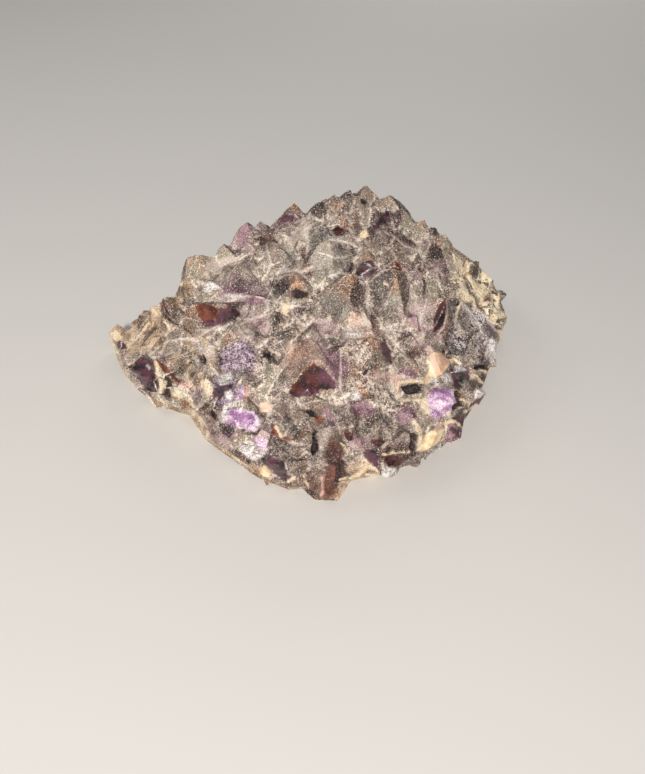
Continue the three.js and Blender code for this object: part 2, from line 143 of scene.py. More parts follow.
def add_camera():
    camera = bpy.data.objects.new("camera", bpy.data.cameras.new("camera"))
    camera.data.sensor_width = SENSOR
    camera.data.lens = FOCAL / VIEW_HIGH * SENSOR
    camera.data.clip_start = CLIP_NEAR
    turn = Matrix((RIGHT, UP, -AHEAD)).transposed().to_4x4()
    camera.matrix_world = Matrix.Translation(EYE) @ turn
    bpy.context.scene.collection.objects.link(camera)
    bpy.context.scene.camera = camera
    bpy.context.scene.view_settings.view_transform = "Standard"


FLASH_PLACE = STONE_MIDDLE + FLASH_AWAY * (EYE - STONE_MIDDLE - RIGHT * FLASH_LEFT)
# Each light's place, how far it is across, its watts and its colour.
LIGHTS = {
    "flash": (FLASH_PLACE, 0.12, 7.8, (1, 0.955, 0.9)),
    "key": ((-0.7, 0.1, 0.7), 0.35, 1.3, (1, 0.97, 0.93)),
    "fill": ((0.2, 0.9, 0.45), 0.6, 1.6, (1, 0.98, 0.96)),
}


def add_light(name, place, across, watts, colour):
    light = bpy.data.lights.new(name, "AREA")
    light.shape = "DISK"
    light.size = across
    light.energy = watts
    light.color = colour
    lamp = bpy.data.objects.new(name, light)
    lamp.location = place
    lamp.rotation_euler = (STONE_MIDDLE - Vector(place)).to_track_quat("-Z", "Y").to_euler()
    bpy.context.scene.collection.objects.link(lamp)


def add_stage():
    floor_mesh = bmesh.new()
    bmesh.ops.create_circle(floor_mesh, cap_ends=True, radius=FLOOR_RADIUS, segments=64)
    floor = mesh_piece("floor", floor_mesh)
    paint = bpy.data.materials.new("pale floor")
    paint.use_nodes = True
    shader = paint.node_tree.nodes["Principled BSDF"]
    shader.inputs["Base Color"].default_value = FLOOR_COLOUR
    shader.inputs["Roughness"].default_value = FLOOR_ROUGH
    floor.data.materials.append(paint)
    world = bpy.data.worlds.new("studio")
    world.use_nodes = True
    sky = world.node_tree.nodes["Background"]
    sky.inputs["Color"].default_value = SKY_COLOUR
    sky.inputs["Strength"].default_value = SKY_STRENGTH
    bpy.context.scene.world = world
    for name, light in LIGHTS.items():
        add_light(name, *light)


def mesh_piece(name, shape):
    mesh = bpy.data.meshes.new(name)
    shape.to_mesh(mesh)
    shape.free()
    return linked(name, mesh)


def linked(name, mesh):
    piece = bpy.data.objects.new(name, mesh)
    bpy.context.scene.collection.objects.link(piece)
    return piece


# The crystal faces of the solid and the edges between them.


def merged_solid():
    solid = bmesh.new()
    solid.from_mesh(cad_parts["amethyst_chunk"].data)
    bmesh.ops.remove_doubles(solid, verts=solid.verts, dist=SAME_PLACE)
    solid.faces.ensure_lookup_table()
    solid.normal_update()
    return solid


def face_numbers(solid):
    """Gives each triangle the number of the crystal face that it is part of."""
    number = [None] * len(solid.faces)
    count = 0
    for face in solid.faces:
        if number[face.index] is None:
            number[face.index] = count
            waiting = [face]
            while waiting:
                here = waiting.pop()
                for edge in here.edges:
                    for other in edge.link_faces:
                        same = other.normal.dot(face.normal) > FACET_SAME
                        if number[other.index] is None and same:
                            number[other.index] = count
                            waiting.append(other)
            count += 1
    return number, count


def edge_points(solid, lowest, highest):
    """Points along the edges whose faces meet at an angle in a range, in degrees, ridges counting as more
    than 0, for finding the distance to them."""
    points = []
    for edge in solid.edges:
        if len(edge.link_faces) == 2:
            angle = math.degrees(edge.calc_face_angle_signed(0))
            if lowest < angle < highest:
                steps = max(1, round(edge.calc_length() / EDGE_STEP))
                first, last = (corner.co for corner in edge.verts)
                points += [first.lerp(last, step / steps) for step in range(steps + 1)]
    tree = kdtree.KDTree(len(points))
    for index, point in enumerate(points):
        tree.insert(point, index)
    tree.balance()
    return tree


def even_mesh(solid):
    """The solid's surface as an even fine mesh."""
    piece = mesh_piece("stone_skin", solid.copy())
    remesh = piece.modifiers.new("even", "REMESH")
    remesh.mode = "VOXEL"
    remesh.voxel_size = SKIN_STEP
    bake_modifiers(piece)
    return piece


def fill_valleys(piece, vein):
    """Rounds out the bottoms of the valleys, where druse has filled them."""
    shape = bmesh.new()
    shape.from_mesh(piece.data)
    shape.verts.ensure_lookup_table()
    low = [shape.verts[index] for index in np.flatnonzero(vein < VALLEY_FILL)]
    axes = {"use_axis_x": True, "use_axis_y": True, "use_axis_z": True}
    for corners in [low] * VALLEY_ROUNDS + [shape.verts] * WORN_ROUNDS:
        bmesh.ops.smooth_vert(shape, verts=corners, factor=SMOOTHING, **axes)
    shape.to_mesh(piece.data)
    shape.free()


def bake_modifiers(piece):
    """Gives a piece the mesh that its modifiers make."""
    shown = piece.evaluated_get(bpy.context.evaluated_depsgraph_get())
    finished = bpy.data.meshes.new_from_object(shown)
    piece.modifiers.clear()
    piece.data = finished


def keep_inside(piece, lowest, highest):
    """Brings back corners that the relief put outside the object's box."""
    places = np.clip(read(piece.data.vertices, "co", 3), lowest, highest)
    piece.data.vertices.foreach_set("co", places.ravel())
    piece.data.update()


def cut_apart(skin):
    """The skin as closed pieces that meet inside the stone, each small enough for one mesh."""
    pieces = []
    ends = [-BEYOND, *CUTS, BEYOND]
    for name, left, right in zip(("stone_left", "stone_middle", "stone_right"), ends, ends[1:]):
        shape = bmesh.new()
        shape.from_mesh(skin.data)
        for place, outward in ((left, -1), (right, 1)):
            whole = shape.verts[:] + shape.edges[:] + shape.faces[:]
            plane = {"plane_co": (place * MM, 0, 0), "plane_no": (outward, 0, 0)}
            bmesh.ops.bisect_plane(shape, geom=whole, clear_outer=True, **plane)
            bmesh.ops.holes_fill(shape, edges=[edge for edge in shape.edges if edge.is_boundary])
        bmesh.ops.triangulate(shape, faces=shape.faces[:])
        bmesh.ops.recalc_face_normals(shape, faces=shape.faces[:])
        piece = mesh_piece(name, shape)
        piece.data.materials.append(skin.data.materials[0])
        pieces.append(piece)
    bpy.data.objects.remove(skin)
    return pieces


# Numbers kept at the corners of a mesh.


def read(items, name, width=1, kind=np.float32):
    values = np.empty(len(items) * width, dtype=kind)
    items.foreach_get(name, values)
    return values.reshape(-1, width) if width > 1 else values


def keep(mesh, name, values):
    """Stores one number for each corner of a mesh, under a name."""
    attribute = mesh.attributes.new(name, "FLOAT", "POINT")
    attribute.data.foreach_set("value", np.asarray(values, dtype=np.float32))


def stored(mesh, name):
    return read(mesh.attributes[name].data, "value")


def distances(corners, tree):
    """Millimetres from each corner to the nearest point of a tree, up to FAR."""
    return np.array([min(FAR, tree.find(corner)[2] / MM) for corner in corners])


def blended(values, start, end):
    """Goes smoothly from 0 to 1 as values go from start to end."""
    share = np.clip((values - start) / (end - start), 0, 1)
    return share * share * (3 - 2 * share)


# What the view doesn't show, in millimetres.
HIDDEN = 2                  # this far behind what it shows, a patch of the view isn't painted,
HIDDEN_WELL = 3 * HIDDEN    # and beyond this, some faces get a tone by chance
HIDDEN_RIM = 0.8            # how far from a ridge the tone of such a face ends
# Which of those faces carry a tone, by their chance value from 0 to 1.
HIDDEN_FACES = {"burgundy": (0, 0.08), "purple": (0.08, 0.16), "silver": (0.16, 0.24),
                "violet": (0.24, 0.27), "butter": (0.27, 0.3)}

# Patches of the stone read from the photograph, by tone. Each line is a run of pixels, each across and then
# down. These are closed lines round whole patches.
OUTLINES = {
    "steel": [[306, 226, 330, 226, 345, 240, 350, 262, 340, 276, 316, 280, 306, 262]],
    "dim": [
        [256, 406, 300, 399, 340, 404, 352, 420, 346, 450, 346, 480, 330, 497, 300, 487, 280, 470, 268, 450,
         256, 430],
        [300, 215, 312, 200, 340, 188, 368, 184, 385, 196, 400, 214, 385, 222, 350, 210, 320, 216],
        [350, 418, 372, 420, 396, 424, 412, 440, 410, 452, 380, 452, 356, 436],
    ],
    "tan": [[133, 316, 150, 308, 163, 320, 168, 330, 160, 350, 130, 350, 125, 335]],
    "lilac": [
        [226, 276, 232, 270, 243, 270, 246, 280, 240, 286, 230, 292, 222, 290],
        [256, 430, 262, 424, 270, 428, 271, 437, 264, 440, 257, 437],
    ],
    "blush": [
        [283, 352, 292, 341, 306, 337, 318, 341, 327, 352, 329, 362, 320, 366, 308, 364, 296, 372, 288, 376,
         283, 366],
    ],
    "umber": [
        [330, 440, 345, 446, 341, 462, 330, 458],
        [436, 241, 441, 247, 445, 260, 436, 258, 428, 264, 431, 250],
        [470, 265, 481, 264, 481, 276, 476, 283, 470, 276],
    ],
    "mauve": [
        [243, 291, 262, 289, 263, 303, 255, 306, 245, 302],
        [236, 240, 238, 230, 244, 222, 250, 221, 250, 235, 247, 240, 243, 245],
        [447, 432, 450, 426, 456, 422, 459, 424, 464, 430, 466, 435, 460, 440, 448, 446, 445, 441],
        [396, 414, 402, 408, 410, 405, 418, 409, 419, 419, 412, 423, 402, 422, 397, 419],
        [223, 433, 228, 430, 234, 431, 237, 436, 231, 439, 225, 437],
        [351, 401, 362, 401, 370, 405, 374, 412, 368, 417, 358, 415, 352, 410],
    ],
    "freckled": [
        [345, 342, 354, 337, 368, 337, 373, 344, 372, 360, 362, 366, 350, 364, 344, 354],
        [377, 380, 392, 382, 394, 402, 388, 414, 380, 410, 376, 396],
    ],
    "silver": [
        [286, 226, 294, 222, 305, 219, 307, 230, 304, 243, 296, 250, 287, 243],
        [392, 258, 400, 250, 420, 248, 424, 255, 422, 262, 415, 265, 400, 262],
        [362, 313, 366, 309, 370, 315, 370, 335, 364, 334, 362, 324],
        [344, 331, 350, 326, 356, 323, 362, 326, 361, 335, 352, 338, 345, 337],
        [320, 431, 327, 430, 328, 445, 326, 460, 324, 472, 319, 471, 318, 450],
        [470, 344, 474, 340, 479, 345, 480, 352, 478, 360, 472, 356, 470, 350],
        [218, 344, 214, 342, 206, 343, 201, 349, 201, 355, 207, 361, 216, 358],
    ],
    "rust": [[323, 497, 326, 489, 333, 480, 341, 478, 341, 484, 336, 490, 330, 495]],
    "lattice": [
        [453, 253, 460, 260, 479, 263, 492, 271, 500, 280, 505, 293, 512, 320, 507, 327, 495, 325, 487, 317,
         484, 309, 473, 303, 460, 299, 458, 293, 463, 285, 453, 280, 453, 276, 461, 274, 458, 264],
    ],
    "slate": [[449, 335, 455, 328, 463, 335, 468, 345, 468, 353, 455, 355, 449, 350]],
    "frost": [
        [211, 380, 222, 372, 236, 376, 241, 392, 234, 404, 220, 406, 210, 396],
        [219, 352, 228, 345, 240, 341, 255, 345, 258, 356, 255, 368, 245, 374, 232, 376, 222, 372, 218, 362],
    ],
    # dark: partly dark crystal faces, partly slots painted dark as painted shade in the crevice, over their
    # real depth
    "dark": [
        [160, 375, 166, 376, 170, 380, 172, 388, 170, 399, 163, 396, 160, 386],
        [197, 356, 203, 355, 206, 360, 203, 364, 198, 363],
        [314, 433, 318, 430, 320, 438, 318, 450, 313, 456, 311, 450, 313, 442],
        [402, 387, 410, 384, 420, 383, 424, 387, 422, 392, 412, 394, 405, 392],
        [412, 434, 415, 432, 418, 440, 417, 456, 413, 459, 411, 450],
        [302, 410, 310, 409, 318, 415, 320, 419, 312, 417],
        [361, 198, 369, 200, 366, 204, 362, 203],
    ],
    "purple": [
        [114, 344, 120, 341, 126, 343, 127, 348, 120, 349, 116, 348],
        [133, 364, 143, 355, 152, 360, 155, 370, 157, 380, 157, 392, 150, 392, 142, 386, 135, 378, 132, 370],
        [278, 219, 284, 214, 295, 215, 293, 221, 284, 223],
        [371, 226, 378, 221, 384, 212, 386, 208, 391, 208, 389, 216, 386, 222, 380, 227, 374, 229],
        [390, 216, 396, 211, 400, 208, 398, 213],
        [356, 268, 360, 263, 366, 260, 372, 261, 378, 267, 379, 271, 373, 273, 367, 276, 361, 276, 357, 273],
        [291, 291, 299, 289, 309, 293, 308, 298, 299, 300, 292, 297],
        [199, 322, 215, 320, 220, 308, 230, 307, 238, 310, 242, 314, 236, 319, 225, 325, 205, 327],
        [381, 342, 385, 340, 388, 344, 391, 350, 394, 358, 392, 364, 388, 362, 384, 355, 382, 350],
        [361, 373, 366, 368, 370, 363, 374, 364, 372, 370, 367, 375, 362, 376],
        [211, 392, 216, 385, 224, 383, 232, 384, 232, 392, 225, 396, 218, 402, 212, 398],
        [362, 454, 368, 450, 377, 452, 379, 460, 380, 468, 375, 468, 370, 464, 364, 459],
        [451, 366, 456, 364, 462, 365, 468, 369, 470, 376, 466, 382, 462, 390, 456, 389, 453, 380, 449, 374],
        [486, 326, 491, 324, 496, 330, 498, 337, 494, 340, 488, 337],
        [258, 457, 265, 453, 274, 458, 283, 462, 288, 470, 291, 478, 288, 483, 281, 481, 274, 474, 268, 469,
         262, 462],
        [320, 368, 326, 370, 331, 376, 337, 384, 335, 389, 324, 390, 319, 384, 318, 376],
    ],
    "burgundy": [
        [161, 299, 165, 300, 170, 308, 175, 316, 170, 317, 165, 314, 162, 305],
        [332, 229, 338, 224, 343, 229, 349, 229, 350, 233, 343, 237, 336, 236],
        [287, 394, 292, 385, 298, 381, 302, 373, 308, 366, 314, 363, 319, 368, 326, 375, 332, 382, 330, 389,
         318, 391, 305, 395, 297, 398],
        [446, 297, 447, 306, 446, 318, 443, 326, 438, 331, 433, 332, 433, 318, 436, 309, 440, 302],
        [343, 431, 348, 429, 352, 436, 353, 441, 347, 440],
        [370, 439, 384, 439, 386, 443, 380, 448, 372, 446],
        [452, 419, 460, 411, 472, 404, 482, 404, 480, 418, 468, 433, 458, 427],
        [474, 402, 481, 398, 486, 395, 486, 403, 481, 408, 476, 410, 473, 407],
        [384, 457, 392, 455, 404, 459, 402, 466, 394, 468, 387, 465],
    ],
    "red": [
        [194, 306, 200, 301, 206, 303, 212, 306, 220, 311, 218, 318, 212, 322, 205, 323, 198, 318],
        [154, 359, 158, 359, 164, 364, 170, 369, 177, 377, 180, 379, 174, 379, 168, 376, 162, 370, 157, 364],
        [270, 423, 274, 425, 279, 433, 283, 437, 292, 438, 296, 440, 290, 442, 281, 441, 275, 437, 272, 432],
        [315, 419, 319, 417, 325, 419, 323, 423, 320, 425, 317, 422],
        [395, 263, 401, 263, 402, 270, 396, 270],
    ],
    "violet": [
        [221, 416, 228, 410, 236, 408, 247, 411, 254, 411, 258, 420, 260, 424, 256, 431, 249, 432, 238, 430,
         232, 427, 226, 425],
        [254, 438, 262, 437, 268, 440, 267, 450, 262, 452, 257, 448],
        [426, 399, 431, 392, 436, 387, 444, 386, 452, 390, 457, 395, 457, 402, 453, 409, 446, 414, 438, 421,
         431, 417, 427, 409],
    ],
    "pink": [[440, 353, 447, 358, 451, 361, 446, 366, 441, 363]],
    # white: partly white faces of the stone, partly painted glints where faces caught the light
    "white": [
        [204, 283, 212, 281, 219, 283, 220, 289, 212, 291, 207, 294, 203, 290],
        [351, 394, 356, 390, 362, 395, 361, 401, 350, 401, 350, 397],
        [382, 466, 384, 463, 390, 467, 397, 468, 398, 474, 395, 478, 385, 479, 381, 478, 380, 474],
        [217, 376, 224, 374, 231, 371, 232, 380, 226, 384, 220, 385, 218, 381],
        [203, 382, 208, 380, 212, 388, 211, 394, 206, 392],
        [442, 376, 446, 373, 451, 374, 453, 380, 451, 385, 447, 384, 446, 379, 442, 380],
        [433, 450, 440, 447, 446, 449, 445, 453, 436, 453],
        [475, 389, 482, 388, 485, 392, 482, 397, 476, 400, 474, 396],
        [487, 342, 491, 337, 498, 341, 500, 350, 499, 360, 493, 366, 489, 360, 488, 352],
        [240, 443, 246, 440, 252, 441, 254, 446, 258, 451, 266, 452, 262, 457, 255, 462, 248, 458, 243, 454,
         238, 450],
        [224, 393, 230, 390, 234, 395, 231, 400, 226, 399],
    ],
    "butter": [
        [430, 354, 435, 352, 443, 353, 449, 358, 452, 362, 447, 368, 443, 374, 438, 380, 427, 384, 424, 380,
         429, 372, 430, 362],
        [444, 423, 447, 428, 445, 440, 438, 444, 432, 447, 424, 451, 418, 452, 421, 444, 425, 437, 432, 430,
         438, 425],
        [256, 468, 263, 465, 270, 472, 270, 479, 262, 479, 256, 475],
        [260, 402, 268, 401, 271, 406, 268, 411, 261, 410],
    ],
    "cream": [
        [110, 333, 115, 330, 120, 333, 121, 339, 115, 341, 110, 339],
        [452, 250, 458, 258, 464, 262, 470, 263, 470, 270, 466, 276, 460, 274, 456, 264],
        [459, 290, 464, 287, 468, 292, 473, 297, 473, 301, 466, 302, 461, 298],
        [470, 270, 473, 279, 479, 284, 487, 286, 487, 291, 480, 296, 474, 291, 471, 284, 466, 277],
        [483, 268, 490, 270, 497, 278, 494, 281, 486, 279, 481, 275],
        [488, 317, 494, 313, 504, 312, 508, 316, 498, 319, 492, 321],
        [360, 232, 366, 229, 369, 235, 366, 238, 360, 237],
        [200, 381, 206, 378, 212, 386, 211, 396, 206, 394],
        [421, 400, 427, 396, 429, 408, 432, 416, 426, 414, 422, 408],
        [282, 303, 290, 305, 288, 315, 282, 312],
        [179, 281, 184, 283, 180, 288],
    ],
}

# And these are open lines by their width in millimetres, each a band along its pixels.
BANDS = {
    "web": {
        0.7: [[375, 192, 375, 199, 371, 203, 370, 215, 369, 225, 364, 230],
        [295, 222, 305, 217, 309, 222, 308, 230, 305, 240, 304, 246],
        [264, 262, 263, 270, 267, 279, 265, 287, 271, 295], [296, 270, 305, 276],
        [341, 350, 340, 360, 341, 372, 340, 390, 345, 400, 351, 406],
        [281, 345, 286, 356, 277, 372, 276, 385, 288, 394, 297, 399],
        [342, 349, 350, 339, 360, 336, 366, 335], [372, 310, 380, 322, 388, 334, 404, 352],
        [384, 312, 390, 324, 396, 336], [396, 366, 388, 374, 376, 378, 366, 376],
        [372, 384, 376, 396, 378, 410, 384, 420], [392, 380, 398, 400], [266, 398, 272, 406, 266, 418],
        [296, 400, 300, 407], [430, 241, 422, 268], [447, 298, 448, 312, 444, 328, 438, 334],
        [368, 296, 372, 304, 376, 308], [263, 276, 271, 279, 285, 275, 304, 270, 312, 266],
        [365, 266, 368, 287, 368, 306, 371, 330, 376, 341],
        [317, 287, 328, 276, 341, 272, 354, 274, 364, 284],
        [368, 282, 381, 271, 395, 266, 408, 271, 412, 292, 408, 314, 400, 330],
        [266, 244, 271, 263, 266, 276, 269, 287, 274, 300], [389, 247, 397, 258, 384, 268],
        [309, 212, 304, 231, 309, 242, 306, 255], [338, 240, 354, 244, 368, 231],
        [218, 303, 245, 295, 266, 298, 287, 306, 309, 306],
        [287, 298, 293, 314, 304, 325, 314, 319, 322, 306], [427, 298, 421, 319, 424, 335, 413, 343],
        [196, 330, 215, 330, 234, 327, 250, 319, 266, 314], [129, 344, 148, 317],
        [148, 355, 169, 340, 192, 338], [167, 319, 169, 330, 163, 338], [175, 359, 194, 349, 192, 338],
        [192, 380, 198, 370, 194, 357], [201, 334, 217, 326, 230, 330, 234, 338],
        [240, 330, 262, 340, 272, 352], [246, 262, 262, 268, 280, 262], [386, 230, 404, 244, 424, 252],
        [318, 252, 336, 258, 352, 254], [300, 404, 320, 400, 341, 404], [277, 413, 284, 420, 288, 430],
        [296, 420, 288, 428, 283, 437], [300, 404, 310, 409], [283, 452, 298, 458, 306, 452],
        [309, 425, 313, 432]], 1.2: [[383, 369, 392, 366, 402, 367]],
    },
    "steel": {
        8: [[330, 300, 342, 312], [385, 280, 392, 300]], 9: [[270, 250, 290, 262], [252, 300, 272, 296]],
    },
    "dim": {
        2: [[182, 362, 194, 370]], 2.4: [[148, 338, 158, 322], [166, 332, 180, 338], [160, 348, 176, 344]],
        3: [[134, 332, 150, 316]], 5: [[338, 412, 346, 420]], 6: [[210, 404, 214, 430]],
        8: [[270, 236, 280, 262], [400, 350, 396, 364], [430, 406, 426, 420], [282, 400, 304, 402],
        [404, 424, 414, 432]], 10: [[372, 236, 396, 240], [358, 436, 372, 450], [420, 458, 404, 470]],
        12: [[306, 470, 296, 490]],
    },
    "tan": {
        7: [[176, 360, 196, 378]], 8: [[172, 300, 184, 286], [352, 474, 364, 470]],
        9: [[196, 345, 214, 356]], 14: [[122, 340, 140, 326, 158, 318]],
    },
    "lilac": {
        2.4: [[196, 390, 200, 418]], 3: [[118, 370, 125, 378, 135, 388, 145, 396]], 4: [[322, 340, 334, 358],
        [240, 310, 252, 316]], 5: [[333, 358, 336, 386], [117, 355, 124, 360], [356, 408, 370, 412],
        [420, 326, 430, 334], [431, 265, 444, 266]], 6: [[234, 242, 248, 246]], 7: [[352, 443, 364, 443],
        [318, 322, 332, 330], [420, 345, 446, 338]], 8: [[226, 294, 260, 296], [410, 314, 424, 308],
        [204, 428, 222, 442]], 9: [[246, 330, 262, 322], [226, 366, 244, 352, 252, 366]],
    },
    "blush": {7: [[380, 378, 396, 380], [356, 322, 372, 330]], 9: [[428, 344, 442, 350]]},
    "umber": {
        2: [[205, 404, 212, 434], [491, 272, 497, 278]], 2.4: [[493, 283, 499, 290], [494, 317, 505, 319]],
        3: [[300, 458, 304, 480], [228, 305, 234, 311], [303, 248, 307, 268], [357, 216, 357, 230],
        [477, 298, 481, 308], [501, 292, 503, 308]], 3.5: [[465, 275, 473, 292], [485, 296, 492, 300]],
        4: [[374, 314, 376, 332], [474, 384, 484, 380], [272, 232, 262, 240], [446, 330, 450, 345]],
        5: [[279, 284, 290, 290], [308, 478, 312, 490], [404, 360, 418, 352]], 7: [[386, 456, 406, 452]],
    },
    "mauve": {
        3: [[226, 289, 244, 291], [326, 412, 334, 424], [346, 356, 346, 370], [414, 320, 422, 328],
        [354, 440, 362, 446], [222, 364, 228, 358]], 4: [[404, 370, 414, 376]], 5: [[478, 404, 482, 402]],
        7: [[332, 356, 339, 372]],
    },
    "freckled": {5: [[254, 366, 262, 376]], 6: [[352, 384, 368, 386], [396, 346, 404, 360]]},
    "silver": {
        4: [[284, 268, 300, 274]], 5: [[210, 274, 222, 276], [236, 266, 250, 276], [236, 322, 250, 330],
        [428, 338, 440, 348]], 6: [[212, 268, 232, 262]],
    },
    "rust": {2: [[340, 452, 344, 468, 336, 484]], 9: [[336, 446, 336, 468, 328, 490]]},
    "slate": {
        3: [[474, 336, 480, 346], [501, 294, 505, 308]], 5: [[484, 340, 480, 350]],
        6: [[470, 308, 482, 320, 490, 332]], 7: [[458, 306, 466, 316, 472, 328]],
    },
    "orange": {
        1.4: [[299, 436, 303, 431, 309, 429]], 2: [[290, 356, 296, 352], [300, 350, 310, 351]],
        3: [[364, 257, 372, 257], [351, 274, 353, 282], [180, 383, 190, 388], [340, 205, 335, 206],
        [356, 316, 358, 312], [396, 284, 394, 292]], 3.5: [[396, 266, 400, 268]], 4: [[368, 338, 376, 344],
        [343, 220, 347, 226], [294, 205, 298, 208], [360, 388, 364, 396]], 5: [[296, 277, 297, 288]],
    },
    # Painted shade: soft dark washes where the stone lies in shadow.
    "painted_shade": {
        2: [[328, 420, 335, 424], [275, 406, 285, 398]], 2.4: [[218, 352, 222, 364], [386, 418, 391, 430],
        [484, 350, 481, 362], [232, 284, 241, 282]], 2.5: [[468, 284, 473, 290]],
        3: [[222, 372, 234, 374, 246, 370], [474, 266, 479, 276], [458, 414, 466, 410], [246, 260, 256, 262],
        [228, 327, 235, 328], [250, 333, 258, 334], [223, 428, 230, 429], [380, 416, 388, 424],
        [404, 356, 398, 366], [196, 366, 190, 374], [434, 228, 437, 232], [403, 232, 410, 238],
        [330, 340, 336, 346], [184, 372, 178, 366]], 4: [[267, 354, 267, 370],
        [455, 303, 463, 316, 468, 328, 474, 336], [272, 286, 288, 294], [376, 300, 378, 312],
        [383, 312, 388, 318], [366, 428, 372, 420], [300, 462, 300, 474], [352, 300, 346, 306],
        [374, 356, 370, 366]], 4.5: [[274, 330, 288, 335]], 5: [[448, 346, 462, 352], [272, 316, 276, 320],
        [312, 310, 322, 314], [336, 440, 344, 446], [288, 420, 292, 430]],
    },
    # dark: partly dark crystal faces, partly slots painted dark as painted shade in the crevice, over their
    # real depth
    "dark": {
        0.8: [[165, 316, 172, 323, 180, 326, 192, 336], [256, 238, 266, 238, 276, 241],
        [263, 356, 268, 352, 270, 362]], 1: [[213, 402, 213, 412, 217, 422],
        [240, 431, 248, 433, 255, 434, 260, 427], [256, 412, 262, 418], [355, 270, 360, 280],
        [252, 464, 247, 460]], 1.2: [[398, 476, 404, 468], [458, 306, 456, 301]],
        1.4: [[456, 283, 459, 285]], 1.8: [[445, 352, 451, 357]], 2: [[494, 284, 498, 289],
        [500, 327, 504, 326], [478, 367, 487, 367]], 2.6: [[458, 394, 462, 404, 456, 408]],
    },
    "purple": {2: [[292, 396, 304, 394, 318, 391], [350, 270, 352, 264]], 2.4: [[452, 430, 458, 434]]},
    "red": {1.2: [[290, 391, 298, 381, 304, 372, 312, 365]], 1.8: [[156, 361, 166, 370, 178, 380]]},
    "violet": {2: [[238, 398, 242, 388]]},
    "deep violet": {
        1.6: [[452, 396, 455, 400]], 2: [[436, 411, 441, 415], [242, 424, 252, 421]],
        3.4: [[242, 415, 251, 418], [434, 391, 449, 394]], 4: [[233, 414, 240, 420]],
    },
    "pink": {
        1.2: [[322, 478, 324, 490, 321, 497], [247, 386, 246, 400]], 2: [[438, 427, 444, 426]],
        2.4: [[180, 386, 186, 384], [264, 405, 268, 408]], 3: [[434, 358, 438, 370]],
    },
    # white: partly white faces of the stone, partly painted glints where faces caught the light
    "white": {
        0.7: [[164, 297, 166, 299]], 0.8: [[147, 365, 149, 368], [369, 265, 371, 267]],
        1: [[285, 463, 289, 475], [309, 463, 311, 467], [456, 320, 464, 332]], 1.2: [[480, 326, 484, 338],
        [478, 310, 488, 318, 496, 330]], 1.3: [[270, 279, 278, 272, 287, 269]],
        1.4: [[344, 331, 352, 334, 360, 334], [178, 388, 184, 392], [362, 282, 365, 284],
        [482, 332, 478, 336], [463, 303, 472, 314, 480, 326]], 1.6: [[222, 296, 242, 295]],
        2: [[196, 340, 200, 348], [432, 378, 440, 384]], 2.4: [[222, 420, 226, 406, 238, 402]],
    },
    "cream": {
        0.8: [[152, 309, 157, 314], [398, 386, 400, 398, 402, 404], [385, 456, 396, 453, 410, 452],
        [363, 459, 370, 466, 378, 472], [303, 476, 306, 482, 308, 486], [348, 452, 344, 446, 341, 443]],
        0.9: [[131, 344, 140, 334, 149, 323], [340, 480, 348, 478]], 1: [[163, 320, 169, 328],
        [483, 292, 482, 302, 486, 309, 492, 308], [484, 302, 492, 302], [499, 290, 498, 303, 500, 308],
        [484, 295, 490, 290, 493, 297, 492, 302], [474, 298, 476, 306, 474, 312], [509, 312, 511, 322],
        [500, 331, 501, 338], [474, 378, 476, 375, 483, 383], [464, 400, 470, 404], [466, 412, 476, 406],
        [447, 424, 455, 421, 462, 427], [276, 426, 281, 436], [384, 283, 388, 285]],
        1.2: [[461, 302, 458, 312, 456, 320], [490, 321, 498, 324, 505, 328], [400, 382, 412, 381, 424, 382],
        [402, 399, 420, 400], [400, 472, 410, 468]], 1.3: [[366, 474, 374, 476, 380, 478],
        [486, 372, 483, 370]], 1.4: [[155, 362, 160, 378, 160, 393],
        [452, 279, 456, 276, 461, 277, 462, 284, 466, 291], [288, 482, 294, 478]],
        1.6: [[454, 358, 460, 364], [448, 448, 460, 441, 466, 436], [350, 478, 358, 476, 366, 468]],
        2: [[270, 219, 274, 217]], 2.2: [[415, 422, 421, 432, 420, 446]],
    },
    "rim": {
        2.4: [[118, 362, 126, 378, 136, 392]], 3: [[268, 485, 280, 489, 292, 493],
        [108, 336, 112, 346, 118, 360]], 3.5: [[220, 452, 232, 460, 242, 464, 251, 470]],
        4: [[142, 398, 152, 402, 164, 406], [251, 470, 258, 479, 268, 485]],
        4.5: [[202, 436, 210, 446, 220, 452]], 5: [[172, 392, 184, 400, 193, 411]],
        6: [[184, 404, 194, 420, 202, 436]],
    },
}


def pixels_shown(corners):
    """The pixel that each corner comes to in the view."""
    away = corners - np.array(EYE)
    ahead = away @ np.array(AHEAD)
    across = CENTRE_U + FOCAL * (away @ np.array(RIGHT)) / ahead
    down = CENTRE_V - FOCAL * (away @ np.array(UP)) / ahead
    return np.column_stack([across, down])


def behind_view(corners, cut):
    """Millimetres that each corner lies behind the stone's surface as the view shows it."""
    behind = []
    for corner in corners:
        sight = Vector(corner) - EYE
        seen = cut.ray_cast(EYE, sight.normalized())[3]
        behind.append((sight.length - seen) / MM if seen else 0)
    return np.array(behind)


def outside_line(pixels, line, closed):
    """Pixels from each pixel to a line, less than 0 inside a closed one."""
    nearest = np.full(len(pixels), np.inf)
    inside = np.zeros(len(pixels), bool)
    ends = line[1:] + line[:1] if closed else line[1:]
    for first, last in zip(line, ends):
        along = np.subtract(last, first)
        share = np.clip((pixels - first) @ along / (along @ along), 0, 1)
        nearest = np.minimum(nearest, np.linalg.norm(pixels - first - share[:, None] * along, axis=1))
        if along[1]:
            level = (first[1] > pixels[:, 1]) != (last[1] > pixels[:, 1])
            inside ^= level & (pixels[:, 0] < first[0] + (pixels[:, 1] - first[1]) / along[1] * along[0])
    return np.where(inside, -nearest, nearest) if closed else nearest


def patch_lines(tone):
    """The lines of a tone's patches: the pixels, the width in millimetres and whether it is closed."""
    lines = [(line, 0, True) for line in OUTLINES.get(tone, [])]
    for wide, bands in BANDS.get(tone, {}).items():
        lines += [(line, wide, False) for line in bands]
    return [(list(zip(line[::2], line[1::2])), wide, closed) for line, wide, closed in lines]


